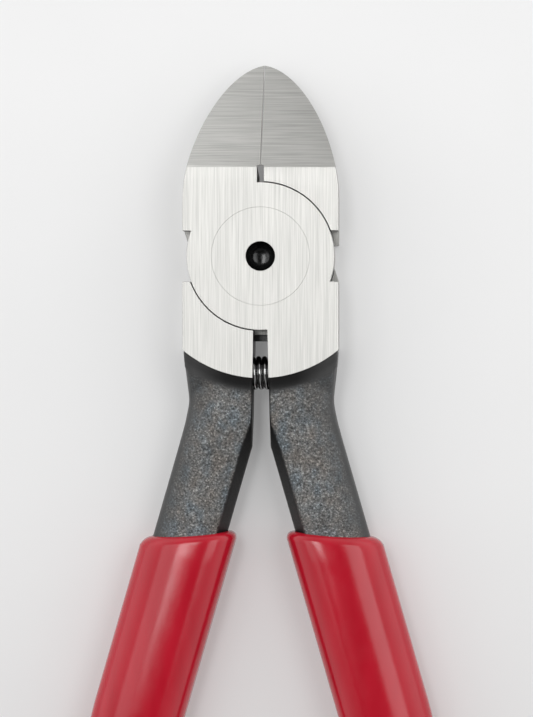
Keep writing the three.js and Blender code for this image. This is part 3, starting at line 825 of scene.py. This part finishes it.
def make_grip(side, name, node, body):
    """One sleeve: up its inside from the floor, over the lip, down its outside and round its end."""
    settled = -GRIP_REACH - GRIP_LIP - GRIP_SETTLING
    dome_start = handle_end + GRIP_END_ROUND
    inside_end = tang_end + TANG_END_ROUND
    inside = [grip_ring(side, y, grip_section(y, GRIP_INSIDE)) for y in levels(settled, inside_end)]
    floor_scale = 1 - TANG_END_ROUND / tang_size(tang_end)[1]
    floor = grip_ring(side, tang_end - GRIP_INSIDE, grip_section(tang_end, GRIP_INSIDE), floor_scale)
    rings = [floor, *reversed(inside)]
    for i in range(LIP_STEPS + 1):
        angle = math.pi / 2 * i / LIP_STEPS
        offset = lerp(GRIP_INSIDE, GRIP_OUTSIDE, math.sin(angle))
        level = -GRIP_REACH - GRIP_LIP * (1 - math.cos(angle))
        rings.append(edge_ring(side, level, grip_section(level, offset)))
    rings += [grip_ring(side, y, grip_section(y, GRIP_OUTSIDE)) for y in levels(settled, dome_start)]
    for i in range(1, DOME_STEPS):
        angle = math.pi / 2 * i / DOME_STEPS
        y = dome_start - GRIP_END_ROUND * math.sin(angle)
        rings.append(grip_ring(side, y, grip_section(y, GRIP_OUTSIDE), math.cos(angle)))
    bm = bmesh.new()
    loft(bm, rings)
    piece = finish_piece(name, bm, [red_vinyl], ROUND_CRISP_ANGLE)
    stand_for(piece, node, body)


# Stage


def make_camera():
    """Looks straight down on the tool, leaning a little toward the right handle."""
    target = Vector(
        (
            (PIXELS_WIDE / 2 - PIVOT_ACROSS) / PIXELS_PER_MM,
            (PIVOT_DOWN - PIXELS_HIGH / 2) / PIXELS_PER_MM,
            THICKNESS,
        )
    )
    back = Vector((math.sin(CAMERA_LEAN), 0, math.cos(CAMERA_LEAN)))
    right = Vector((math.cos(CAMERA_LEAN), 0, -math.sin(CAMERA_LEAN)))
    up = Vector((0, 1, 0))
    data = bpy.data.cameras.new("camera")
    half_height = PIXELS_HIGH / PIXELS_PER_MM / 2
    data.lens = data.sensor_width / 2 * CAMERA_DISTANCE / half_height
    data.clip_start = 0.01
    camera = bpy.data.objects.new("camera", data)
    turned = Matrix((right, up, back)).transposed().to_4x4()
    camera.matrix_world = Matrix.Translation((target + back * CAMERA_DISTANCE) * MM) @ turned
    bpy.context.scene.collection.objects.link(camera)
    bpy.context.scene.camera = camera


def make_floor():
    half = FLOOR_REACH * MM
    level = FLOOR_LEVEL * MM
    mesh = bpy.data.meshes.new("floor")
    corners = [(-half, -half, level), (half, -half, level), (half, half, level), (-half, half, level)]
    mesh.from_pydata(corners, [], [(0, 1, 2, 3)])
    mesh.materials.append(floor_material())
    floor = bpy.data.objects.new("floor", mesh)
    bpy.context.scene.collection.objects.link(floor)


def softbox(name, lean, size, radiance):
    """A rectangular lamp that faces the pivot, leaning off the zenith along X and Y, in degrees."""
    along_x, along_y = (math.tan(math.radians(angle)) for angle in lean)
    back = Vector((along_x, along_y, 1)).normalized()
    right = Vector((0, 1, 0)).cross(back).normalized()
    turned = Matrix((right, back.cross(right), back)).transposed().to_4x4()
    data = bpy.data.lights.new(name, "AREA")
    data.shape = "RECTANGLE"
    data.size, data.size_y = size
    data.energy = radiance * math.pi * size[0] * size[1]
    lamp = bpy.data.objects.new(name, data)
    lamp.matrix_world = Matrix.Translation(back * LAMP_DISTANCE) @ turned
    bpy.context.scene.collection.objects.link(lamp)


def make_light():
    """A pale tent, dim overhead and toward the handles, with three soft lamps beside the camera."""
    world = bpy.data.worlds.new("tent")
    world.use_nodes = True
    tree = world.node_tree
    place = add_node(tree, "ShaderNodeTexCoord")
    axes = add_node(tree, "ShaderNodeSeparateXYZ")
    tree.links.new(place.outputs["Generated"], axes.inputs["Vector"])
    size = add_node(tree, "ShaderNodeMath", operation="ABSOLUTE")
    tree.links.new(axes.outputs["X"], size.inputs[0])
    height = ramp(tree, axes.outputs["Z"], TENT_BY_HEIGHT)
    sides = ramp(tree, size.outputs["Value"], TENT_BY_SIDE)
    length = ramp(tree, spread(tree, axes.outputs["Y"], 0, 1, -1, 1), TENT_BY_LENGTH)
    colour = multiply(tree, multiply(tree, height, sides), length)
    background = tree.nodes["Background"]
    background.inputs["Strength"].default_value = TENT_STRENGTH
    tree.links.new(colour, background.inputs["Color"])
    bpy.context.scene.world = world
    softbox("left_lamp", (-10, 10), (0.18, 0.56), 7.0)
    softbox("left_wall", (-27, 6), (0.36, 0.66), 1.4)
    softbox("right_lamp", (25, 6), (0.42, 0.66), 2.2)


bpy.context.scene.view_settings.view_transform = "Standard"
make_camera()
make_floor()
make_light()
steel_half("front_half_steel", "front_half", "front_lever")
steel_half("rear_half_steel", "rear_half", "rear_lever")
make_rivet()
make_spring()
make_grip(1, "right_grip_vinyl", "right_grip", "front_lever")
make_grip(-1, "left_grip_vinyl", "left_grip", "rear_lever")
